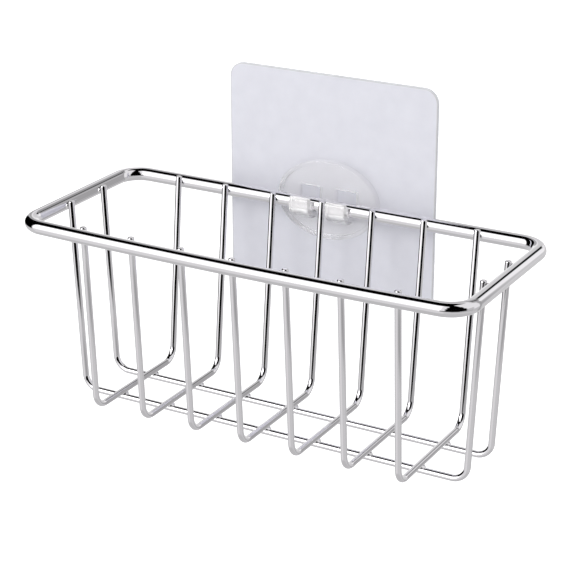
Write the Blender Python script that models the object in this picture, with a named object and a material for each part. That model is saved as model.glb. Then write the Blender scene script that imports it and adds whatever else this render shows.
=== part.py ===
"""Sink caddy: a welded wire basket that hangs by its back rim on a two-finger adhesive hook.

Frame: +Z up, +Y into the wall, +X to the right of someone facing the wall.
The origin is the middle of the adhesive's back face, which lies on the wall.
"""
import math

import bmesh
import bpy
from mathutils import Vector

# Clearance kept between pieces that touch on the real object
GAP = 0.0003

# Rim: one thick wire bent to a rounded rectangle, sizes from wire centre to wire centre
RIM_WIRE = 0.006
RIM_LENGTH = 0.203
RIM_DEPTH = 0.0825
RIM_CORNER = 0.0105
RIM_BOW = 0.0020

# Basket wires: seven front-to-back U bends that lie on two left-to-right U bends
WIRE = 0.0028
CROSS_COUNT = 7
CROSS_PITCH = 0.0242
CROSS_DROP = 0.0820
FRONT_LEAN = 0.0035
BACK_LEAN = 0.0088
LONG_SPREAD = 0.0242
LONG_LEAN = 0.0040
WIRE_BEND = 0.0068
TIP_RISE = 0.0024
TIP_ROUND = 0.0005

# Adhesive film and the adhesive behind it
FILM_SIZE = 0.100
FILM_CORNER = 0.0065
FILM_THICK = 0.0006
ADHESIVE_THICK = 0.0006

# Hook plate: an oval with a raised edge, two windows and two J fingers
PLATE_WIDTH = 0.0484
PLATE_HEIGHT = 0.0353
PLATE_THICK = 0.0022
PLATE_BELOW_FILM_MIDDLE = 0.0052
EDGE_WIDTH = 0.0023
EDGE_RISE = 0.0010
EDGE_BEVEL = 0.0005
FINGER_WIDTH = 0.0091
FINGER_PITCH = 0.0177
FINGER_THICK = 0.0030
FINGER_LIP_RISE = 0.0038
FINGER_ROOT = 0.0018
FINGER_BEVEL = 0.0005
WINDOW_MARGIN = 0.0005
WINDOW_TOP = 0.0066
RIM_BELOW_PLATE_MIDDLE = 0.0012

# How far the basket hangs to the right of the hook's middle
BASKET_SHIFT = 0.0020

# Depths behind the wall face, worked out towards the room
FILM_BACK = -(ADHESIVE_THICK + GAP)
FILM_FRONT = FILM_BACK - FILM_THICK
PLATE_BACK = FILM_FRONT - GAP
PLATE_FRONT = PLATE_BACK - PLATE_THICK
EDGE_FRONT = PLATE_FRONT - EDGE_RISE
RIM_RADIUS = RIM_WIRE / 2
WIRE_RADIUS = WIRE / 2
RIM_BACK_Y = EDGE_FRONT - GAP - RIM_RADIUS
PLATE_Z = -PLATE_BELOW_FILM_MIDDLE
RIM_Z = PLATE_Z - RIM_BELOW_PLATE_MIDDLE

# The welded wires stand this far inside the rim's centre line
WELD_INSET = RIM_RADIUS + WIRE_RADIUS + GAP

# How finely round forms are divided
ARC_STEP = math.radians(11)
BOW_STEPS = 12
OVAL_STEPS = 64
TIP_STEPS = 3
RIM_BEVEL_LEVEL = 9
WIRE_BEVEL_LEVEL = 6


def clear_scene():
    for old in list(bpy.data.objects):
        bpy.data.objects.remove(old, do_unlink=True)


def principled(name, colour, metallic, roughness, alpha=1.0):
    """A plain Principled material with the part's own colour."""
    material = bpy.data.materials.new(name)
    material.use_nodes = True
    shader = material.node_tree.nodes["Principled BSDF"]
    shader.inputs["Base Color"].default_value = (*colour, 1.0)
    shader.inputs["Metallic"].default_value = metallic
    shader.inputs["Roughness"].default_value = roughness
    shader.inputs["Alpha"].default_value = alpha
    return material


def chrome(name):
    return principled(name, (0.78, 0.79, 0.80), 1.0, 0.08)


def place(name, data, material, parent=None):
    item = bpy.data.objects.new(name, data)
    bpy.context.scene.collection.objects.link(item)
    item.parent = parent
    data.materials.append(material)
    return item


def as_cutter(item):
    """Keep a shape that only a Boolean uses out of the model."""
    item.hide_render = True
    item.display_type = "WIRE"
    return item


def arc(centre, start, end, radius):
    """Points in a plane from one angle to another, both ends included."""
    steps = max(2, math.ceil(abs(end - start) / ARC_STEP))
    angles = [start + (end - start) * k / steps for k in range(steps + 1)]
    return [(centre[0] + radius * math.cos(t), centre[1] + radius * math.sin(t)) for t in angles]


def round_corner(before, corner, after, radius):
    """Replace one corner of a path in a plane by an arc that is tangent to both runs."""
    before, corner, after = Vector(before), Vector(corner), Vector(after)
    back = (before - corner).normalized()
    ahead = (after - corner).normalized()
    half = back.angle(ahead) / 2
    centre = corner + (back + ahead).normalized() * radius / math.sin(half)
    first = corner + back * radius / math.tan(half) - centre
    turn = first.angle_signed(corner + ahead * radius / math.tan(half) - centre)
    start = math.atan2(first.y, first.x)
    return arc(centre, start, start - turn, radius)


def u_bend(top_a, bottom_a, bottom_b, top_b):
    """A wire's centre line in its own plane: down one leg, along the bottom and up the other."""
    path = [top_a]
    path += round_corner(top_a, bottom_a, bottom_b, WIRE_BEND)
    path += round_corner(bottom_a, bottom_b, top_b, WIRE_BEND)
    path.append(top_b)
    return path


def cut_end(tip, inner, radius):
    """Rings that soften the edge of a bar's cut end, as pairs of a point and its share of the radius."""
    tip = Vector(tip)
    inward = (Vector(inner) - tip).normalized()
    rings = []
    for k in range(TIP_STEPS + 1):
        turn = math.pi / 2 * k / TIP_STEPS
        drawn_in = TIP_ROUND * (1 - math.sin(turn))
        rings.append((tip + inward * TIP_ROUND * (1 - math.cos(turn)), 1 - drawn_in / radius))
    return rings


def wire(name, points, diameter, bevel_level, material, parent, closed=False):
    """A round bar along a path, with cut ends unless it is a loop."""
    rings = [(point, 1.0) for point in points]
    if not closed:
        start = cut_end(points[0], points[1], diameter / 2)
        end = cut_end(points[-1], points[-2], diameter / 2)
        rings = start + rings[1:-1] + end[::-1]
    curve = bpy.data.curves.new(name, "CURVE")
    curve.dimensions = "3D"
    curve.bevel_depth = diameter / 2
    curve.bevel_resolution = bevel_level
    curve.use_fill_caps = not closed
    curve.render_resolution_u = 0
    spline = curve.splines.new("POLY")
    spline.points.add(len(rings) - 1)
    for knot, (point, share) in zip(spline.points, rings):
        knot.co = (*point, 1.0)
        knot.radius = share
    spline.use_cyclic_u = closed
    spline.use_smooth = True
    return place(name, curve, material, parent)


def bow_circle():
    """Radius and centre depth of the shallow arc that the rim's front run follows."""
    half = RIM_LENGTH / 2 - RIM_CORNER
    radius = (half ** 2 + RIM_BOW ** 2) / (2 * RIM_BOW)
    return radius, radius - RIM_DEPTH - RIM_BOW


def front_run(x):
    """Depth of the rim's front run at x."""
    radius, centre = bow_circle()
    return centre - math.sqrt(radius ** 2 - x ** 2)


def rim_path():
    """The rim's centre line, seen from above, with the middle of its back run at the origin."""
    half = RIM_LENGTH / 2 - RIM_CORNER
    back = -RIM_CORNER
    quarter = math.pi / 2
    radius, centre = bow_circle()
    spread = math.asin(half / (radius - RIM_CORNER))
    front = centre - (radius - RIM_CORNER) * math.cos(spread)
    path = arc((half, back), 0, quarter, RIM_CORNER)
    path += arc((-half, back), quarter, 2 * quarter, RIM_CORNER)
    path += arc((-half, front), 2 * quarter, 3 * quarter - spread, RIM_CORNER)
    for k in range(1, BOW_STEPS):
        turn = 3 * quarter + spread * (2 * k / BOW_STEPS - 1)
        path.append((radius * math.cos(turn), centre + radius * math.sin(turn)))
    path += arc((half, front), 3 * quarter + spread, 4 * quarter, RIM_CORNER)
    return [(x, y, 0.0) for x, y in path]


def build_rim(basket):
    wire("basket_rim", rim_path(), RIM_WIRE, RIM_BEVEL_LEVEL, chrome("rim_chrome"), basket, closed=True)


def build_cross_wires(basket):
    """Front-to-back wires, welded inside the rim's front and back runs."""
    material = chrome("cross_wire_chrome")
    back_top = -WELD_INSET
    for k in range(CROSS_COUNT):
        x = (k - (CROSS_COUNT - 1) / 2) * CROSS_PITCH
        front_top = front_run(x) + WELD_INSET
        path = u_bend(
            (front_top, TIP_RISE),
            (WELD_INSET - RIM_DEPTH + FRONT_LEAN, -CROSS_DROP),
            (back_top - BACK_LEAN, -CROSS_DROP),
            (back_top, TIP_RISE),
        )
        points = [(x, y, z) for y, z in path]
        wire(f"cross_wire_{k + 1}", points, WIRE, WIRE_BEVEL_LEVEL, material, basket)


def build_long_wires(basket):
    """Left-to-right wires, welded inside the rim's ends and under the cross wires."""
    material = chrome("long_wire_chrome")
    top = RIM_LENGTH / 2 - WELD_INSET
    bottom = top - LONG_LEAN
    drop = CROSS_DROP + WIRE + GAP
    path = u_bend((-top, TIP_RISE), (-bottom, -drop), (bottom, -drop), (top, TIP_RISE))
    for side, place_name in ((-1, "front"), (1, "back")):
        y = (side * LONG_SPREAD - RIM_DEPTH) / 2
        points = [(x, y, z) for x, z in path]
        wire(f"long_wire_{place_name}", points, WIRE, WIRE_BEVEL_LEVEL, material, basket)


def sheet_outline(size, corner):
    """A square with rounded corners, as x and z."""
    inner = size / 2 - corner
    outline = []
    for quadrant, (side_x, side_z) in enumerate(((1, 1), (-1, 1), (-1, -1), (1, -1))):
        start = quadrant * math.pi / 2
        outline += arc((side_x * inner, side_z * inner), start, start + math.pi / 2, corner)
    return outline


def loft(name, rings):
    """A closed mesh through rings of equal length, each a list of points, with flat end faces."""
    mesh = bpy.data.meshes.new(name)
    bm = bmesh.new()
    loops = [[bm.verts.new(point) for point in ring] for ring in rings]
    count = len(rings[0])
    for near, far in zip(loops, loops[1:]):
        for k in range(count):
            after = (k + 1) % count
            bm.faces.new((near[k], near[after], far[after], far[k]))
    bm.faces.new(loops[0])
    bm.faces.new(loops[-1])
    bmesh.ops.recalc_face_normals(bm, faces=bm.faces)
    bm.to_mesh(mesh)
    bm.free()
    return mesh


def build_sheet(name, back, front, material):
    """A flat sheet between two depths, with the film's outline."""
    outline = sheet_outline(FILM_SIZE, FILM_CORNER)
    rings = [[(x, y, z) for x, z in outline] for y in (back, front)]
    place(name, loft(name, rings), material)


def build_adhesive():
    glue = principled("adhesive_clear", (0.86, 0.86, 0.90), 0.0, 0.35, 0.5)
    build_sheet("adhesive_layer", 0.0, -ADHESIVE_THICK, glue)


def build_film():
    film = principled("film_frosted", (0.84, 0.84, 0.90), 0.0, 0.25, 0.75)
    build_sheet("adhesive_film", FILM_BACK, FILM_FRONT, film)


def oval_ring(inset, y):
    """One ring of the plate's outline, drawn in by an inset."""
    wide = PLATE_WIDTH / 2 - inset
    high = PLATE_HEIGHT / 2 - inset
    angles = [2 * math.pi * k / OVAL_STEPS for k in range(OVAL_STEPS)]
    return [(wide * math.cos(t), y, PLATE_Z + high * math.sin(t)) for t in angles]


def plate_blank():
    """The oval plate with its raised, bevelled edge."""
    rings = [
        oval_ring(0.0, PLATE_BACK),
        oval_ring(0.0, EDGE_FRONT + EDGE_BEVEL),
        oval_ring(EDGE_BEVEL, EDGE_FRONT),
        oval_ring(EDGE_WIDTH - EDGE_BEVEL, EDGE_FRONT),
        oval_ring(EDGE_WIDTH, PLATE_FRONT),
    ]
    return loft("hook_plate", rings)


def finger_profile():
    """Side view of one J finger, as y and z: its floor, its lip and its thick root."""
    inner = RIM_RADIUS + GAP
    outer = inner + FINGER_THICK
    lip_radius = FINGER_THICK / 2
    root_y = (PLATE_FRONT + PLATE_BACK) / 2
    face_y = PLATE_FRONT
    centre = (RIM_BACK_Y, RIM_Z)
    lip_centre = (RIM_BACK_Y - inner - lip_radius, RIM_Z + FINGER_LIP_RISE - lip_radius)
    profile = [(root_y, RIM_Z - inner)]
    profile += arc(centre, -math.pi / 2, -math.pi, inner)
    profile += arc(lip_centre, 0, math.pi, lip_radius)
    profile += arc(centre, math.pi, 1.5 * math.pi, outer)
    profile += arc((face_y - FINGER_ROOT, RIM_Z - outer - FINGER_ROOT), math.pi / 2, 0, FINGER_ROOT)
    profile.append((root_y, RIM_Z - outer - FINGER_ROOT))
    return profile


def finger_places():
    return (-FINGER_PITCH / 2, FINGER_PITCH / 2)


def finger_blank(x):
    """One J finger, extruded to its width and with its long edges softened."""
    rings = [[(x + side * FINGER_WIDTH / 2, y, z) for y, z in finger_profile()] for side in (-1, 1)]
    blank = as_cutter(place("finger_blank", loft("finger_blank", rings), clear_plastic()))
    soften = blank.modifiers.new("soften", "BEVEL")
    soften.width = FINGER_BEVEL
    soften.segments = 2
    soften.limit_method = "ANGLE"
    soften.angle_limit = math.radians(60)
    return blank


def window_blank(x):
    """The opening above one finger, which lets the mould form the back of the lip."""
    half = FINGER_WIDTH / 2 + WINDOW_MARGIN
    low = RIM_Z - RIM_RADIUS - GAP
    high = RIM_Z + WINDOW_TOP
    ring = [(x - half, low), (x + half, low), (x + half, high), (x - half, high)]
    reach = PLATE_THICK
    rings = [[(u, y, w) for u, w in ring] for y in (PLATE_FRONT - reach, PLATE_BACK + reach)]
    return as_cutter(place("window_blank", loft("window_blank", rings), clear_plastic()))


def clear_plastic():
    return principled("hook_clear_plastic", (0.92, 0.93, 0.95), 0.0, 0.06, 0.35)


def combine(target, tool, operation):
    step = target.modifiers.new(operation.lower(), "BOOLEAN")
    step.operation = operation
    step.object = tool


def build_hook_plate():
    """Plate and fingers are one moulding."""
    plate = place("hook_plate", plate_blank(), clear_plastic())
    for x in finger_places():
        combine(plate, window_blank(x), "DIFFERENCE")
    for x in finger_places():
        combine(plate, finger_blank(x), "UNION")


def build_basket():
    """Everything that lifts off, under an empty at the middle of the rim's back run."""
    basket = bpy.data.objects.new("basket_lift_axis", None)
    bpy.context.scene.collection.objects.link(basket)
    basket.location = (BASKET_SHIFT, RIM_BACK_Y, RIM_Z)
    build_rim(basket)
    build_cross_wires(basket)
    build_long_wires(basket)


clear_scene()
build_adhesive()
build_film()
build_hook_plate()
build_basket()
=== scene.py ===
"""Looks of a sink caddy: a welded chrome wire basket on a clear two-finger adhesive hook."""
import math

import bmesh
import bpy
from mathutils import Matrix, Vector, noise


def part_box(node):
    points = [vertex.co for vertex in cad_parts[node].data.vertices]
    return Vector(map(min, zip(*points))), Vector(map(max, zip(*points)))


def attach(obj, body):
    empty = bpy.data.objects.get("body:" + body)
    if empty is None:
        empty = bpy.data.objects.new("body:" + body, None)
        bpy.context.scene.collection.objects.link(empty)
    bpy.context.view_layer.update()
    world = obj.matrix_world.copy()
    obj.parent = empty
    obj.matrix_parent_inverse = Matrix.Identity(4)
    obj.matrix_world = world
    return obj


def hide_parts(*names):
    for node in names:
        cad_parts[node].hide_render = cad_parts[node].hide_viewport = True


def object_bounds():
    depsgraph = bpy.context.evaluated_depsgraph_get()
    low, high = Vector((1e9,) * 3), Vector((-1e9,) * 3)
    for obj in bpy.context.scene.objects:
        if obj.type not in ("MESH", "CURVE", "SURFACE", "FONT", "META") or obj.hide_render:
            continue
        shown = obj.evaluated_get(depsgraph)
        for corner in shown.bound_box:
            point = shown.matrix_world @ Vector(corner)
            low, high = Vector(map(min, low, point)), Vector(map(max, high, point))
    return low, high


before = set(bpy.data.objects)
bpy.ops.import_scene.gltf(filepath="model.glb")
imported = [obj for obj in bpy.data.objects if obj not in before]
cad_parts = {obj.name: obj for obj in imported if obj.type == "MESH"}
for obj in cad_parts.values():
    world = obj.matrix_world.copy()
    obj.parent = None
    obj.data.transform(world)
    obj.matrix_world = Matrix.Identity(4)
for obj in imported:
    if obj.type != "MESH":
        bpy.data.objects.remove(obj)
cad_low, cad_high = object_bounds()


# Adhesive
# The real piece is a clear, tacky gel layer that fills the film's whole back.
# It is cast on the film as one even coat, and it is what holds on to the wall.
ADHESIVE_COLOUR = (0.80, 0.81, 0.86, 1.0)
ADHESIVE_COLOUR_LIGHT = (0.824, 0.8343, 0.8858, 1.0)
ADHESIVE_ROUGHNESS = (0.22, 0.33)
ADHESIVE_MOTTLE_PER_METRE = 140.0
ADHESIVE_GRAIN_PER_METRE = 900.0
ADHESIVE_GRAIN_DEPTH = 0.00003
ADHESIVE_ALPHA = 0.6
MOTTLE_DETAIL = 4.0
MOTTLE_REACH = (0.3, 0.7)
GRAIN_DETAIL = 2.0


def socket(group, name, direction, kind, value=None):
    """Add one named input or output to a node group."""
    made = group.interface.new_socket(name=name, in_out=direction, socket_type=kind)
    if value is not None:
        made.default_value = value


def mottle_group():
    """Slow, cloudy change of one value over a surface."""
    group = bpy.data.node_groups.new("mottle", "ShaderNodeTree")
    socket(group, "Per Metre", "INPUT", "NodeSocketFloat", 200.0)
    socket(group, "Low", "INPUT", "NodeSocketFloat", 0.0)
    socket(group, "High", "INPUT", "NodeSocketFloat", 1.0)
    socket(group, "Value", "OUTPUT", "NodeSocketFloat")
    inputs = group.nodes.new("NodeGroupInput")
    outputs = group.nodes.new("NodeGroupOutput")
    place = group.nodes.new("ShaderNodeTexCoord")
    cloud = group.nodes.new("ShaderNodeTexNoise")
    cloud.inputs["Detail"].default_value = MOTTLE_DETAIL
    spread = group.nodes.new("ShaderNodeMapRange")
    spread.inputs["From Min"].default_value, spread.inputs["From Max"].default_value = MOTTLE_REACH
    group.links.new(place.outputs["Object"], cloud.inputs["Vector"])
    group.links.new(inputs.outputs["Per Metre"], cloud.inputs["Scale"])
    group.links.new(cloud.outputs["Fac"], spread.inputs["Value"])
    group.links.new(inputs.outputs["Low"], spread.inputs["To Min"])
    group.links.new(inputs.outputs["High"], spread.inputs["To Max"])
    group.links.new(spread.outputs["Result"], outputs.inputs["Value"])
    return group


def relief_group():
    """Fine unevenness of a surface, as a normal."""
    group = bpy.data.node_groups.new("fine_relief", "ShaderNodeTree")
    socket(group, "Per Metre", "INPUT", "NodeSocketFloat", 1000.0)
    socket(group, "Depth", "INPUT", "NodeSocketFloat", 0.00001)
    socket(group, "Normal", "OUTPUT", "NodeSocketVector")
    inputs = group.nodes.new("NodeGroupInput")
    outputs = group.nodes.new("NodeGroupOutput")
    place = group.nodes.new("ShaderNodeTexCoord")
    grain = group.nodes.new("ShaderNodeTexNoise")
    grain.inputs["Detail"].default_value = GRAIN_DETAIL
    bump = group.nodes.new("ShaderNodeBump")
    group.links.new(place.outputs["Object"], grain.inputs["Vector"])
    group.links.new(inputs.outputs["Per Metre"], grain.inputs["Scale"])
    group.links.new(grain.outputs["Fac"], bump.inputs["Height"])
    group.links.new(inputs.outputs["Depth"], bump.inputs["Distance"])
    group.links.new(bump.outputs["Normal"], outputs.inputs["Normal"])
    return group


MOTTLE = mottle_group()
FINE_RELIEF = relief_group()


def new_material(name):
    """A material and its Principled shader."""
    material = bpy.data.materials.new(name)
    material.use_nodes = True
    return material, material.node_tree.nodes["Principled BSDF"]


def use_group(material, group, **values):
    """Place a node group in a material, with the material's own values."""
    node = material.node_tree.nodes.new("ShaderNodeGroup")
    node.node_tree = group
    for name, value in values.items():
        node.inputs[name.replace("_", " ")].default_value = value
    return node


def tinted(material, shader, dark, light, per_metre):
    """Base colour that drifts between two near tones."""
    cloud = use_group(material, MOTTLE, Per_Metre=per_metre)
    tones = material.node_tree.nodes.new("ShaderNodeMix")
    tones.data_type = "RGBA"
    tones.inputs["A"].default_value = dark
    tones.inputs["B"].default_value = light
    material.node_tree.links.new(cloud.outputs["Value"], tones.inputs["Factor"])
    material.node_tree.links.new(tones.outputs["Result"], shader.inputs["Base Color"])


def roughened(material, shader, low, high, per_metre):
    """Roughness that drifts between two values."""
    cloud = use_group(material, MOTTLE, Per_Metre=per_metre, Low=low, High=high)
    material.node_tree.links.new(cloud.outputs["Value"], shader.inputs["Roughness"])


def grained(material, shader, per_metre, depth):
    """A surface with a fine, shallow relief."""
    relief = use_group(material, FINE_RELIEF, Per_Metre=per_metre, Depth=depth)
    material.node_tree.links.new(relief.outputs["Normal"], shader.inputs["Normal"])


def gel_adhesive():
    material, shader = new_material("gel_adhesive")
    tinted(material, shader, ADHESIVE_COLOUR, ADHESIVE_COLOUR_LIGHT, ADHESIVE_MOTTLE_PER_METRE)
    roughened(material, shader, *ADHESIVE_ROUGHNESS, ADHESIVE_MOTTLE_PER_METRE)
    grained(material, shader, ADHESIVE_GRAIN_PER_METRE, ADHESIVE_GRAIN_DEPTH)
    shader.inputs["Alpha"].default_value = ADHESIVE_ALPHA
    return material


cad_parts["adhesive_layer"].material_slots[0].material = gel_adhesive()


# Film
# The square sheet that the hook is bonded to: frosted vinyl, die cut with round corners.
# Its cut edge and a thin band along it on the front take a darker tone, which is painted shade, and
# the sheet has a fine matt grain.
FILM_CORNER = 0.0065
FILM_EDGE_ROUND = 0.00018
FILM_EDGE_MIDWAY = 0.3
FILM_EDGE_LINE = 0.0005
FILM_TONE = (0.730, 0.732, 0.795, 1.0)
FILM_TONE_LIGHT = (0.765, 0.767, 0.830, 1.0)
# Painted shade: the darker tones of the cut edge and of the thin band along it on the front
FILM_EDGE_PAINTED_SHADE = (0.600, 0.605, 0.625, 1.0)
FILM_EDGE_PAINTED_SHADE_PALE = (0.640, 0.645, 0.665, 1.0)
FILM_TONE_PER_METRE = 150.0
FILM_ROUGHNESS = (0.34, 0.46)
FILM_ROUGHNESS_PER_METRE = 260.0
FILM_GRAIN_PER_METRE = 1800.0
FILM_GRAIN_DEPTH = 0.00001
FILM_IOR = 1.5
FILM_ALPHA = 0.94
FILM_SHARP_ANGLE = math.radians(60)
FINE_STEP = math.radians(4)


def arc(centre, start, end, radius, step=FINE_STEP):
    """Points in a plane from one angle to another, both ends included."""
    count = max(2, math.ceil(abs(end - start) / step))
    angles = [start + (end - start) * k / count for k in range(count + 1)]
    return [(centre[0] + radius * math.cos(t), centre[1] + radius * math.sin(t)) for t in angles]


def round_square(half, corner, inset):
    """Outline of a square with round corners, drawn in all round by an inset."""
    outline = []
    for quadrant, (side_x, side_z) in enumerate(((1, 1), (-1, 1), (-1, -1), (1, -1))):
        start = quadrant * math.pi / 2
        centre = (side_x * (half - corner), side_z * (half - corner))
        outline += arc(centre, start, start + math.pi / 2, corner - inset)
    return outline


def piece_of(name, bm, material):
    """An object in the scene from a finished mesh, in one material and shaded smooth."""
    mesh = bpy.data.meshes.new(name)
    bm.to_mesh(mesh)
    bm.free()
    mesh.shade_smooth()
    mesh.materials.append(material)
    piece = bpy.data.objects.new(name, mesh)
    bpy.context.scene.collection.objects.link(piece)
    return piece


def join_rings(bm, near, far):
    """Faces between two rings of equal length."""
    for k in range(len(near)):
        after = (k + 1) % len(near)
        bm.faces.new((near[k], near[after], far[after], far[k]))


def loft(name, rings, material, sharp_angle=math.radians(35)):
    """A closed piece through rings of equal length, with flat end faces."""
    bm = bmesh.new()
    loops = [[bm.verts.new(point) for point in ring] for ring in rings]
    for near, far in zip(loops, loops[1:]):
        join_rings(bm, near, far)
    bm.faces.new(loops[0])
    bm.faces.new(loops[-1])
    bmesh.ops.recalc_face_normals(bm, faces=bm.faces)
    piece = piece_of(name, bm, material)
    piece.data.set_sharp_from_angle(angle=sharp_angle)
    return piece


def frosted_vinyl(name, tone, tone_light):
    """Milky vinyl that lets a little of what is behind it through."""
    material, shader = new_material(name)
    tinted(material, shader, tone, tone_light, FILM_TONE_PER_METRE)
    roughened(material, shader, *FILM_ROUGHNESS, FILM_ROUGHNESS_PER_METRE)
    grained(material, shader, FILM_GRAIN_PER_METRE, FILM_GRAIN_DEPTH)
    shader.inputs["IOR"].default_value = FILM_IOR
    shader.inputs["Alpha"].default_value = FILM_ALPHA
    return material


film_low, film_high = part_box("adhesive_film")
film_half = (film_high.x - film_low.x) / 2
midway = FILM_EDGE_ROUND * FILM_EDGE_MIDWAY
film_rings = [
    [(x, y, z) for x, z in round_square(film_half, FILM_CORNER, inset)]
    for inset, y in (
        (FILM_EDGE_LINE, film_low.y),
        (FILM_EDGE_ROUND, film_low.y),
        (midway, film_low.y + midway),
        (0.0, film_low.y + FILM_EDGE_ROUND),
        (0.0, film_high.y),
    )
]
film_sheet = frosted_vinyl("frosted_vinyl", FILM_TONE, FILM_TONE_LIGHT)
film = loft("frosted_film", film_rings, film_sheet, FILM_SHARP_ANGLE)
# The second material is the same vinyl in darker tones, as painted shade on the edge
film.data.materials.append(frosted_vinyl("vinyl_edge_painted_shade", FILM_EDGE_PAINTED_SHADE, FILM_EDGE_PAINTED_SHADE_PALE))
for face in film.data.polygons:
    # Only the edge is made of four-sided faces, and these take the darker painted shade; the two
    # sides are one face each
    face.material_index = 1 if len(face.vertices) == 4 else 0
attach(film, "wall_hook")
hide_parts("adhesive_film")


# Hook plate
# One clear moulding that is bonded to the film: an oval with a raised round edge and two J fingers.
# A window above each finger lets the mould form the back of its lip. Its back is drawn on into the
# film, as the bond lets no air in between.
PLATE_THICK = 0.0022
EDGE_WIDTH = 0.0023
EDGE_RISE = 0.0010
EDGE_ROUND = 0.00045
FINGER_WIDTH = 0.0091
FINGER_PITCH = 0.0177
FINGER_THICK = 0.0030
FINGER_LIP_RISE = 0.0038
FINGER_ROOT = 0.0018
FINGER_EDGE_ROUND = 0.0012
WINDOW_MARGIN = 0.0005
WINDOW_TOP = 0.0066
MOULD_EDGE_ROUND = 0.00016
RIM_RADIUS = 0.003
SEAT_GAP = 0.0003
BOND_DEPTH = 0.00004
OVAL_STEPS = 144
EDGE_STEP = math.radians(18)
LIP_STEP = math.radians(9)
PLASTIC_SHARP_ANGLE = math.radians(40)
PLASTIC_TINT = (0.99, 0.985, 0.985, 1.0)
PLASTIC_TRANSMISSION = 0.75
PLASTIC_IOR = 1.46
PLASTIC_ROUGHNESS = (0.01, 0.05)
PLASTIC_MOTTLE_PER_METRE = 300.0

plate_low, plate_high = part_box("hook_plate")
rim_low, rim_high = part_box("basket_rim")
plate_z = (plate_low.z + plate_high.z) / 2
plate_front = plate_high.y - PLATE_THICK
plate_back = film_low.y + BOND_DEPTH
rim_z = (rim_low.z + rim_high.z) / 2
rim_back_y = rim_high.y - RIM_RADIUS


def clear_plastic():
    """Polished clear plastic that lets the lamps' light through to the film."""
    material, shader = new_material("clear_moulded_plastic")
    shader.inputs["Base Color"].default_value = PLASTIC_TINT
    shader.inputs["Transmission Weight"].default_value = PLASTIC_TRANSMISSION
    shader.inputs["IOR"].default_value = PLASTIC_IOR
    roughened(material, shader, *PLASTIC_ROUGHNESS, PLASTIC_MOTTLE_PER_METRE)
    nodes, links = material.node_tree.nodes, material.node_tree.links
    ray = nodes.new("ShaderNodeLightPath")
    open_way = nodes.new("ShaderNodeBsdfTransparent")
    choice = nodes.new("ShaderNodeMixShader")
    links.new(ray.outputs["Is Shadow Ray"], choice.inputs["Fac"])
    links.new(shader.outputs["BSDF"], choice.inputs[1])
    links.new(open_way.outputs["BSDF"], choice.inputs[2])
    links.new(choice.outputs["Shader"], nodes["Material Output"].inputs["Surface"])
    return material


PLASTIC = clear_plastic()


def oval_ring(inset, y):
    """The plate's oval outline at one depth, drawn in by an inset."""
    wide = (plate_high.x - plate_low.x) / 2 - inset
    high = (plate_high.z - plate_low.z) / 2 - inset
    angles = [2 * math.pi * k / OVAL_STEPS for k in range(OVAL_STEPS)]
    return [(wide * math.cos(t), y, plate_z + high * math.sin(t)) for t in angles]


def edge_profile():
    """Inset and rise of the raised edge, from the outer wall over its top to the plate's face."""
    crest = EDGE_RISE - EDGE_ROUND
    outer = arc((EDGE_ROUND, crest), math.pi, math.pi / 2, EDGE_ROUND, EDGE_STEP)
    inner = arc((EDGE_WIDTH - 2 * EDGE_ROUND, crest), math.pi / 2, 0, EDGE_ROUND, EDGE_STEP)
    foot = arc((EDGE_WIDTH, EDGE_ROUND), math.pi, 1.5 * math.pi, EDGE_ROUND, EDGE_STEP)
    return outer + inner + foot


def finger_profile():
    """Side view of one J finger, as y and z: its floor, its lip and its thick root."""
    inner = RIM_RADIUS + SEAT_GAP
    outer = inner + FINGER_THICK
    lip = FINGER_THICK / 2
    root_y = (plate_front + plate_back) / 2
    root_centre = (plate_front - FINGER_ROOT, rim_z - outer - FINGER_ROOT)
    lip_centre = (rim_back_y - inner - lip, rim_z + FINGER_LIP_RISE - lip)
    profile = [(root_y, rim_z - inner)]
    profile += arc((rim_back_y, rim_z), -math.pi / 2, -math.pi, inner)
    profile += arc(lip_centre, 0, math.pi, lip, LIP_STEP)
    profile += arc((rim_back_y, rim_z), math.pi, 1.5 * math.pi, outer)
    profile += arc(root_centre, math.pi / 2, 0, FINGER_ROOT)
    profile.append((root_y, root_centre[1]))
    return profile


def soften(piece, width, segments, angle_limit):
    """Round the edges of a piece that are sharper than the limit, in degrees."""
    step = piece.modifiers.new("soften", "BEVEL")
    step.width = width
    step.segments = segments
    step.limit_method = "ANGLE"
    step.angle_limit = math.radians(angle_limit)


def finger_blank(x):
    rings = [[(x + side * FINGER_WIDTH / 2, y, z) for y, z in finger_profile()] for side in (-1, 1)]
    blank = loft("finger_blank", rings, PLASTIC)
    soften(blank, FINGER_EDGE_ROUND, segments=6, angle_limit=60)
    return blank


def window_blank(x):
    """The block that a window is cut with, deeper than the plate on both sides."""
    half = FINGER_WIDTH / 2 + WINDOW_MARGIN
    low = rim_z - RIM_RADIUS - SEAT_GAP
    high = rim_z + WINDOW_TOP
    ring = [(x - half, low), (x + half, low), (x + half, high), (x - half, high)]
    depths = (plate_front - PLATE_THICK, plate_back + PLATE_THICK)
    return loft("window_blank", [[(u, y, w) for u, w in ring] for y in depths], PLASTIC)


def combine(piece, blank, operation):
    step = piece.modifiers.new(operation.lower(), "BOOLEAN")
    step.operation = operation
    step.object = blank


def freeze(piece, blanks=()):
    """Keep the shape that the modifiers make, and take the blanks away."""
    graph = bpy.context.evaluated_depsgraph_get()
    shape = bpy.data.meshes.new_from_object(piece.evaluated_get(graph))
    piece.modifiers.clear()
    piece.data = shape
    for blank in blanks:
        bpy.data.objects.remove(blank, do_unlink=True)


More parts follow.
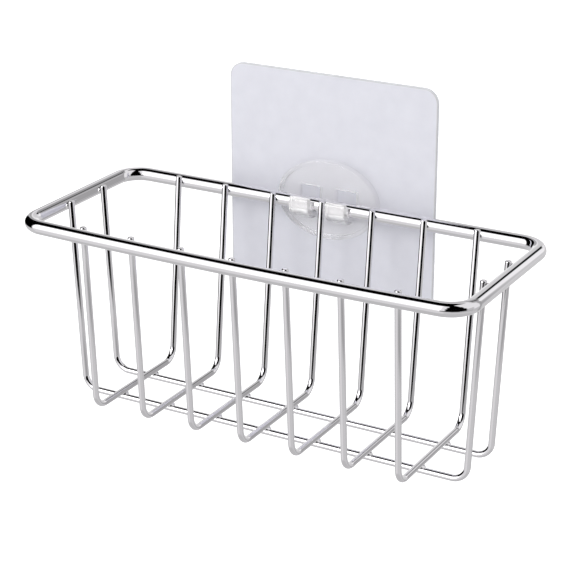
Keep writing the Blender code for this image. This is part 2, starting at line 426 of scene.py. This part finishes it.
def hook_moulding():
    """The plate with its windows cut out, its fingers joined on and all its edges softened."""
    rings = [oval_ring(0.0, plate_back)]
    rings += [oval_ring(inset, plate_front - rise) for inset, rise in edge_profile()]
    piece = loft("clear_hook", rings, PLASTIC)
    places = (-FINGER_PITCH / 2, FINGER_PITCH / 2)
    windows = [window_blank(x) for x in places]
    fingers = [finger_blank(x) for x in places]
    for blank in windows:
        combine(piece, blank, "DIFFERENCE")
    for blank in fingers:
        combine(piece, blank, "UNION")
    freeze(piece, windows + fingers)
    soften(piece, MOULD_EDGE_ROUND, segments=2, angle_limit=50)
    freeze(piece)
    piece.data.shade_smooth()
    piece.data.set_sharp_from_angle(angle=PLASTIC_SHARP_ANGLE)
    return piece


hook = hook_moulding()
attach(hook, "wall_hook")
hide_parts("hook_plate")


# Rim
# One thick steel wire, bent to a round-cornered rectangle, butt welded and chrome plated.
# Its front run is bowed a little outwards, and its back run rests in the hook's fingers.
RIM_CORNER = 0.0105
RIM_BOW = 0.0020
RIM_SIDES = 48
BOW_STEPS = 24
BEND_STEP = math.radians(3)
TIP_ROUND = 0.0005
TIP_STEPS = 4
CUT_FACE_RING = 0.5
CHROME = (0.80, 0.785, 0.81, 1.0)
HAZE_SPREAD = 0.4
HAZE_PER_METRE = 350.0
WAVES_PER_METRE = 420.0
RIM_ROUGHNESS = 0.028
RIM_WAVE_DEPTH = 0.0000006

rim_x = (rim_low.x + rim_high.x) / 2
rim_half = (rim_high.x - rim_low.x) / 2 - RIM_RADIUS
rim_front_y = rim_low.y + RIM_RADIUS + RIM_BOW


def chrome_plate(name, roughness, wave_depth):
    """Chrome plate, with the slight haze and waviness of the wire under it."""
    material, shader = new_material(name)
    shader.inputs["Base Color"].default_value = CHROME
    shader.inputs["Metallic"].default_value = 1.0
    haze = (roughness * (1 - HAZE_SPREAD), roughness * (1 + HAZE_SPREAD))
    roughened(material, shader, *haze, HAZE_PER_METRE)
    grained(material, shader, WAVES_PER_METRE, wave_depth)
    return material


def cut_end(tip, inward, radius):
    """Rings from a bar's flat cut end to its full round, as a burr wheel leaves it."""
    rings = [(tip, radius * CUT_FACE_RING)]
    for k in range(TIP_STEPS + 1):
        turn = math.pi / 2 * k / TIP_STEPS
        place = tip + inward * TIP_ROUND * (1 - math.cos(turn))
        rings.append((place, radius - TIP_ROUND * (1 - math.sin(turn))))
    return rings


def sweep(name, path, flat, radius, sides, material, loop=False):
    """A round bar along a path in a plane, cut off flat unless it is a loop.

    flat is the direction square to that plane. The other metal doesn't mirror the bar.
    """
    flat = Vector(flat)
    points = [Vector(p) for p in path]
    count = len(points)
    rings = []
    for k, point in enumerate(points):
        before = points[k - 1] if k or loop else point
        after = points[(k + 1) % count] if k < count - 1 or loop else point
        rings.append((point, (after - before).normalized(), radius))
    if not loop:
        start, finish = rings[0], rings[-1]
        first = [(p, start[1], size) for p, size in cut_end(start[0], start[1], radius)]
        last = [(p, finish[1], size) for p, size in cut_end(finish[0], -finish[1], radius)]
        rings = first + rings[1:-1] + last[::-1]
    bm = bmesh.new()
    loops = []
    for point, ahead, size in rings:
        across = ahead.cross(flat).normalized()
        turns = [2 * math.pi * k / sides for k in range(sides)]
        ring = [point + (flat * math.sin(t) + across * math.cos(t)) * size for t in turns]
        loops.append([bm.verts.new(place) for place in ring])
    pairs = list(zip(loops, loops[1:]))
    if loop:
        pairs.append((loops[-1], loops[0]))
    for near, far in pairs:
        join_rings(bm, near, far)
    if not loop:
        for ring, tip in ((loops[0], points[0]), (loops[-1], points[-1])):
            pole = bm.verts.new(tip)
            for k in range(sides):
                bm.faces.new((ring[k], ring[(k + 1) % sides], pole))
    bmesh.ops.recalc_face_normals(bm, faces=bm.faces)
    piece = piece_of(name, bm, material)
    piece.visible_glossy = False
    return piece


def bow_circle():
    """Radius and centre depth of the shallow arc that the rim's front run follows."""
    half = rim_half - RIM_CORNER
    radius = (half ** 2 + RIM_BOW ** 2) / (2 * RIM_BOW)
    return radius, radius + rim_front_y - RIM_BOW


def front_run(x):
    """Depth of the rim's front run, x from the rim's middle."""
    radius, centre = bow_circle()
    return centre - math.sqrt(radius ** 2 - x ** 2)


def rim_path():
    """The rim's centre line, from the right end's back corner round by the left to the front."""
    half = rim_half - RIM_CORNER
    back = rim_back_y - RIM_CORNER
    quarter = math.pi / 2
    radius, centre = bow_circle()
    spread = math.asin(half / (radius - RIM_CORNER))
    front = centre - (radius - RIM_CORNER) * math.cos(spread)
    path = arc((half, back), 0, quarter, RIM_CORNER, BEND_STEP)
    path += arc((-half, back), quarter, 2 * quarter, RIM_CORNER, BEND_STEP)
    path += arc((-half, front), 2 * quarter, 3 * quarter - spread, RIM_CORNER, BEND_STEP)
    for k in range(1, BOW_STEPS):
        turn = 3 * quarter + spread * (2 * k / BOW_STEPS - 1)
        path.append((radius * math.cos(turn), centre + radius * math.sin(turn)))
    path += arc((half, front), 3 * quarter + spread, 4 * quarter, RIM_CORNER, BEND_STEP)
    return [(rim_x + x, y, rim_z) for x, y in path]


rim_plate = chrome_plate("rim_chrome_plate", RIM_ROUGHNESS, RIM_WAVE_DEPTH)
rim = sweep("rim_wire", rim_path(), (0, 0, 1), RIM_RADIUS, RIM_SIDES, rim_plate, True)
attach(rim, "basket")
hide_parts("basket_rim")


# Cross wires
# Seven thin steel wires, each bent to a U, that run from front to back.
# Their cut tips are welded inside the rim, the back ones a little higher, and their bottoms lie on
# the two long wires.
WIRE_RADIUS = 0.0014
WIRE_SIDES = 32
WELD_INSET = RIM_RADIUS + WIRE_RADIUS + SEAT_GAP
WIRE_BEND = 0.0068
TIP_RISE = 0.0024
BACK_TIP_RISE = 0.0036
FRONT_LEAN = 0.0035
BACK_LEAN = 0.0088
WIRE_ROUGHNESS = 0.05
WIRE_WAVE_DEPTH = 0.0000003
WIRE_CHROME = chrome_plate("wire_chrome_plate", WIRE_ROUGHNESS, WIRE_WAVE_DEPTH)


def round_corner(before, corner, after, radius):
    """Replace one corner of a path in a plane by an arc that is tangent to both runs."""
    before, corner, after = Vector(before), Vector(corner), Vector(after)
    back = (before - corner).normalized()
    ahead = (after - corner).normalized()
    half = back.angle(ahead) / 2
    centre = corner + (back + ahead).normalized() * radius / math.sin(half)
    first = corner + back * radius / math.tan(half) - centre
    turn = first.angle_signed(corner + ahead * radius / math.tan(half) - centre)
    start = math.atan2(first.y, first.x)
    return arc(centre, start, start - turn, radius, BEND_STEP)


def u_bend(top_a, bottom_a, bottom_b, top_b):
    """Centre line of a wire with two legs and a bottom, in its own plane."""
    path = [top_a]
    path += round_corner(top_a, bottom_a, bottom_b, WIRE_BEND)
    path += round_corner(bottom_a, bottom_b, top_b, WIRE_BEND)
    path.append(top_b)
    return path


cross_wires = sorted(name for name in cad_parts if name.startswith("cross_wire_"))
cross_places = []
for name in cross_wires:
    low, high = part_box(name)
    x = (low.x + high.x) / 2
    bottom = low.z + WIRE_RADIUS
    path = u_bend(
        (front_run(x - rim_x) + WELD_INSET, rim_z + TIP_RISE),
        (rim_front_y + WELD_INSET + FRONT_LEAN, bottom),
        (rim_back_y - WELD_INSET - BACK_LEAN, bottom),
        (rim_back_y - WELD_INSET, rim_z + BACK_TIP_RISE),
    )
    points = [(x, y, z) for y, z in path]
    bar = sweep(name + "_bar", points, (1, 0, 0), WIRE_RADIUS, WIRE_SIDES, WIRE_CHROME)
    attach(bar, "basket")
    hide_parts(name)
    cross_places.append((x, bottom))


# Long wires
# Two thin steel wires, bent to wide Us, that run from left to right under the cross wires.
# Their cut tips are welded inside the rim's ends.
LONG_LEAN = 0.0040

long_places = []
for name in ("long_wire_front", "long_wire_back"):
    low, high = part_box(name)
    y = (low.y + high.y) / 2
    bottom = low.z + WIRE_RADIUS
    top = rim_half - WELD_INSET
    path = u_bend(
        (rim_x - top, rim_z + TIP_RISE),
        (rim_x - top + LONG_LEAN, bottom),
        (rim_x + top - LONG_LEAN, bottom),
        (rim_x + top, rim_z + TIP_RISE),
    )
    points = [(x, y, z) for x, z in path]
    bar = sweep(name + "_bar", points, (0, 1, 0), WIRE_RADIUS, WIRE_SIDES, WIRE_CHROME)
    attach(bar, "basket")
    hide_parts(name)
    long_places.append((y, bottom))


# Welds
# Small nuggets where resistance welding has squeezed the hot wires into each other, plated with the
# rest. One sits at each wire end on the rim, and one at each crossing at the bottom.
RIM_WELD = (0.0017, 0.0010, 0.0016)
CROSSING_WELD = (0.0021, 0.0021, 0.0011)
WELD_LUMP = 0.06
WELD_LUMP_DENSITY = 1.6
WELD_VARIETY_PER_METRE = 900
WELD_ROUGHNESS = 0.16
WELD_WAVE_DEPTH = 0.000001
WELD_CHROME = chrome_plate("weld_satin_chrome", WELD_ROUGHNESS, WELD_WAVE_DEPTH)


def weld_bead(name, centre, half_sizes, turn=0.0):
    """A lumpy melted nugget, long along x before it is turned about the vertical."""
    bm = bmesh.new()
    bmesh.ops.create_icosphere(bm, subdivisions=4, radius=1.0)
    variety = Vector(centre) * WELD_VARIETY_PER_METRE
    for vertex in bm.verts:
        lump = 1 + WELD_LUMP * noise.noise(vertex.co * WELD_LUMP_DENSITY + variety)
        vertex.co = Vector(a * b for a, b in zip(vertex.co * lump, half_sizes))
    bmesh.ops.rotate(bm, verts=bm.verts, cent=(0, 0, 0), matrix=Matrix.Rotation(turn, 3, "Z"))
    bmesh.ops.translate(bm, verts=bm.verts, vec=centre)
    bead = piece_of(name, bm, WELD_CHROME)
    bead.visible_glossy = False
    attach(bead, "basket")


seam = RIM_RADIUS + SEAT_GAP / 2
for number, (x, bottom) in enumerate(cross_places, 1):
    weld_bead(f"rim_weld_front_{number}", (x, front_run(x - rim_x) + seam, rim_z), RIM_WELD)
    weld_bead(f"rim_weld_back_{number}", (x, rim_back_y - seam, rim_z), RIM_WELD)
    for side, (y, lower) in zip(("front", "back"), long_places):
        weld_bead(f"crossing_weld_{side}_{number}", (x, y, (bottom + lower) / 2), CROSSING_WELD)
for side, (y, lower) in zip(("front", "back"), long_places):
    weld_bead(f"rim_weld_left_{side}", (rim_x - rim_half + seam, y, rim_z), RIM_WELD, math.pi / 2)
    weld_bead(f"rim_weld_right_{side}", (rim_x + rim_half - seam, y, rim_z), RIM_WELD, math.pi / 2)


# Studio
# A plain pale floor and soft light from all round, as for a catalogue picture on white.
# Polished metal also meets grey and dark stretches of the room, which give it its lines.
FLOOR_DROP = 0.30
FLOOR_REACH = 3.0
FLOOR_TONE = (0.86, 0.86, 0.87, 1.0)
FLOOR_ROUGHNESS = 0.9
FLOOR_LIFT = 0.45
LAMP_PLACE = (-0.7, -1.1, 0.9)
LAMP_AIM = (0, -0.04, -0.04)
LAMP_SIZE = 0.8
LAMP_POWER = 7.0
WHITE = (1.0, 1.0, 1.0, 1.0)
# How bright the room is: for soft light, where metal meets no stretch of it, and inside the plastic
ROOM_LEVEL = 0.92
BARE_ROOM = 0.95
THROUGH_PLASTIC = 1.15
# Each stretch of the room, in degrees: from and to sideways, from and to upwards, softness of its
# edges, and last its light level. A later one lies over an earlier one.
ROOM_STRETCHES = (
    (-180, 180, -120, -16, 4, 0.68),
    (-180, 180, -120, -48, 6, 0.60),
    (-150, -85, -44, -8, 6, 0.82),
    (-150, -92, -8, 66, 6, 1.35),
    (-144, -96, 10, 32, 4, 7.0),
    (141, 208, -16, 62, 4, 0.0),
    (127, 139, 0, 54, 4, 0.42),
    (92, 119, -8, 34, 4, 0.74),
    (50, 74, 28, 50, 3, 0.45),
    (60, 78, 4, 28, 3, 1.05),
    (60, 92, -16, 4, 3, 0.72),
    (46, 60, -36, 30, 3, 0.43),
    (12, 46, -36, -10, 4, 0.62),
    (60, 75, -42, -30, 3, 0.43),
    (80, 98, 22, 36, 3, 0.02),
    (68, 122, 35, 50, 3, 0.40),
    (70, 84, 34, 52, 3, 0.10),
    (-42, 18, -22, 10, 4, 0.62),
    (-62, 16, -22, -16, 2, 0.42),
    (-96, -32, -14, -4, 2, 0.0),
    (-79, -8, -12, 24, 4, 0.0),
    (-74, -14, 18, 48, 4, 0.0),
    (-66, -20, 42, 84, 4, 0.0),
)
# The same for the dark beams over the object: from the wall over to the front, and from right to
# left
CEILING_BEAMS = (
    (63, 111, 78, 200, 2, 0.0),
    (107, 116, 78, 121, 3, 0.0),
)


def math_step(tree, operation, *values):
    """The result of one Math node of a tree, fed by numbers or by other nodes' outputs."""
    node = tree.nodes.new("ShaderNodeMath")
    node.operation = operation
    for slot, value in enumerate(values):
        if isinstance(value, (int, float)):
            node.inputs[slot].default_value = value
        else:
            tree.links.new(value, node.inputs[slot])
    return node.outputs[0]


def plain_floor():
    """A pale floor that is white to the camera apart from the object's shadow."""
    z = cad_low.z - FLOOR_DROP
    mesh = bpy.data.meshes.new("floor")
    corners = [(-FLOOR_REACH, -FLOOR_REACH), (FLOOR_REACH, -FLOOR_REACH)]
    corners += [(FLOOR_REACH, FLOOR_REACH), (-FLOOR_REACH, FLOOR_REACH)]
    mesh.from_pydata([(x, y, z) for x, y in corners], [], [(0, 1, 2, 3)])
    material, shader = new_material("pale_floor")
    shader.inputs["Base Color"].default_value = FLOOR_TONE
    shader.inputs["Roughness"].default_value = FLOOR_ROUGHNESS
    shader.inputs["Emission Color"].default_value = WHITE
    tree = material.node_tree
    ray = tree.nodes.new("ShaderNodeLightPath").outputs
    seen = math_step(tree, "MAXIMUM", ray["Is Camera Ray"], ray["Is Glossy Ray"])
    through = math_step(tree, "MAXIMUM", seen, ray["Is Transmission Ray"])
    lift = math_step(tree, "MULTIPLY", through, FLOOR_LIFT)
    tree.links.new(lift, shader.inputs["Emission Strength"])
    mesh.materials.append(material)
    floor = bpy.data.objects.new("floor", mesh)
    bpy.context.scene.collection.objects.link(floor)
    floor.visible_glossy = False


def stretch_group():
    """One where a direction points into a stretch of the room, zero elsewhere, soft in between."""
    group = bpy.data.node_groups.new("room_stretch", "ShaderNodeTree")
    for name in (
        "Sideways", "Upwards", "Middle", "Half Width", "Middle Height", "Half Height", "Softness",
    ):
        socket(group, name, "INPUT", "NodeSocketFloat", 0.0)
    socket(group, "Mask", "OUTPUT", "NodeSocketFloat")
    inputs = group.nodes.new("NodeGroupInput").outputs
    outputs = group.nodes.new("NodeGroupOutput").inputs

    def inside(away, half):
        distance = math_step(group, "ABSOLUTE", away)
        edge = group.nodes.new("ShaderNodeMapRange")
        edge.interpolation_type = "SMOOTHSTEP"
        past = math_step(group, "SUBTRACT", distance, inputs[half])
        within = math_step(group, "MULTIPLY", inputs["Softness"], -1.0)
        group.links.new(past, edge.inputs["Value"])
        group.links.new(inputs["Softness"], edge.inputs["From Min"])
        group.links.new(within, edge.inputs["From Max"])
        return edge.outputs["Result"]

    sideways = math_step(group, "SUBTRACT", inputs["Sideways"], inputs["Middle"])
    sideways = math_step(group, "WRAP", sideways, 180.0, -180.0)
    upwards = math_step(group, "SUBTRACT", inputs["Upwards"], inputs["Middle Height"])
    mask = math_step(
        group, "MULTIPLY", inside(sideways, "Half Width"), inside(upwards, "Half Height")
    )
    group.links.new(mask, outputs["Mask"])
    return group


def studio_world():
    """The room round the object: even for soft light, in grey stretches where metal mirrors it."""
    world = bpy.data.worlds.new("studio")
    world.use_nodes = True
    bpy.context.scene.world = world
    tree = world.node_tree
    nodes, links = tree.nodes, tree.links
    group = stretch_group()
    way = nodes.new("ShaderNodeTexCoord")
    parts = nodes.new("ShaderNodeSeparateXYZ")
    links.new(way.outputs["Generated"], parts.inputs["Vector"])

    def angle(operation, *sides):
        return math_step(tree, "DEGREES", math_step(tree, operation, *sides))

    def blend(factor, below, above):
        node = nodes.new("ShaderNodeMix")
        node.data_type = "FLOAT"
        for value, slot in ((factor, "Factor"), (below, "A"), (above, "B")):
            if isinstance(value, (int, float)):
                node.inputs[slot].default_value = value
            else:
                links.new(value, node.inputs[slot])
        return node.outputs["Result"]

    around = angle("ARCTAN2", parts.outputs["Y"], parts.outputs["X"])
    over = angle("ARCTAN2", parts.outputs["Z"], parts.outputs["Y"])
    elevation = angle("ARCSINE", parts.outputs["Z"])
    leftwards = angle("ARCCOSINE", parts.outputs["X"])
    level = BARE_ROOM
    rows = [(around, elevation, row) for row in ROOM_STRETCHES]
    rows += [(over, leftwards, row) for row in CEILING_BEAMS]
    for sideways, upwards, (start, end, low, high, softness, light) in rows:
        half_width = (end - start) / 2
        if end - start == 360:
            # A stretch that goes all round the room has no soft edges sideways
            half_width += 2 * softness
        stretch = nodes.new("ShaderNodeGroup")
        stretch.node_tree = group
        links.new(sideways, stretch.inputs["Sideways"])
        links.new(upwards, stretch.inputs["Upwards"])
        stretch.inputs["Middle"].default_value = (start + end) / 2
        stretch.inputs["Half Width"].default_value = half_width
        stretch.inputs["Middle Height"].default_value = (low + high) / 2
        stretch.inputs["Half Height"].default_value = (high - low) / 2
        stretch.inputs["Softness"].default_value = softness
        level = blend(stretch.outputs["Mask"], level, light)

    ray = nodes.new("ShaderNodeLightPath").outputs
    seen = math_step(tree, "MAXIMUM", ray["Is Camera Ray"], ray["Is Transmission Ray"])
    outside = math_step(tree, "LESS_THAN", ray["Transmission Depth"], 0.5)
    mirrored = math_step(tree, "MULTIPLY", ray["Is Glossy Ray"], outside)
    plain = blend(ray["Is Glossy Ray"], ROOM_LEVEL, THROUGH_PLASTIC)
    plain = blend(seen, plain, 1.0)
    links.new(blend(mirrored, plain, level), nodes["Background"].inputs["Strength"])
    nodes["Background"].inputs["Color"].default_value = WHITE


def soft_lamp():
    """A large square softbox, in front of the object and to its left."""
    lamp = bpy.data.lights.new("front_left_softbox", "AREA")
    lamp.shape = "SQUARE"
    lamp.size = LAMP_SIZE
    lamp.energy = LAMP_POWER
    holder = bpy.data.objects.new("front_left_softbox", lamp)
    bpy.context.scene.collection.objects.link(holder)
    holder.location = LAMP_PLACE
    forward = Vector(LAMP_AIM) - Vector(LAMP_PLACE)
    holder.rotation_euler = forward.to_track_quat("-Z", "Y").to_euler()
    holder.visible_glossy = False


plain_floor()
studio_world()
soft_lamp()


# Camera
# A long lens a little above the rim and to the right of the basket's middle, aimed below the rim's
# middle. Angles, distance and lens are those that the photograph's points were fitted with.
AZIMUTH = math.radians(29.551)
ELEVATION = math.radians(21.369)
ROLL = math.radians(-0.128)
DISTANCE = 0.7589
AIM_FROM_RIM_MIDDLE = Vector((0.00133, 0.0, -0.02035))
FOCAL_LENGTH = 113.63
SHIFT = (0.00924, -0.01188)
NEAREST = 0.05

aim = Vector((rim_x, (rim_back_y + rim_front_y) / 2, rim_z)) + AIM_FROM_RIM_MIDDLE
backward = Vector((
    math.sin(AZIMUTH) * math.cos(ELEVATION),
    -math.cos(AZIMUTH) * math.cos(ELEVATION),
    math.sin(ELEVATION),
))
level_right = Vector((0, 0, 1)).cross(backward).normalized()
level_up = backward.cross(level_right)
right = level_right * math.cos(ROLL) + level_up * math.sin(ROLL)
up = level_up * math.cos(ROLL) - level_right * math.sin(ROLL)
lens = bpy.data.cameras.new("camera")
lens.lens = FOCAL_LENGTH
lens.shift_x, lens.shift_y = SHIFT
lens.clip_start = NEAREST
camera = bpy.data.objects.new("camera", lens)
bpy.context.scene.collection.objects.link(camera)
turn = Matrix((right, up, backward)).transposed().to_4x4()
camera.matrix_world = Matrix.Translation(aim + backward * DISTANCE) @ turn
bpy.context.scene.camera = camera
bpy.context.scene.view_settings.view_transform = "Standard"
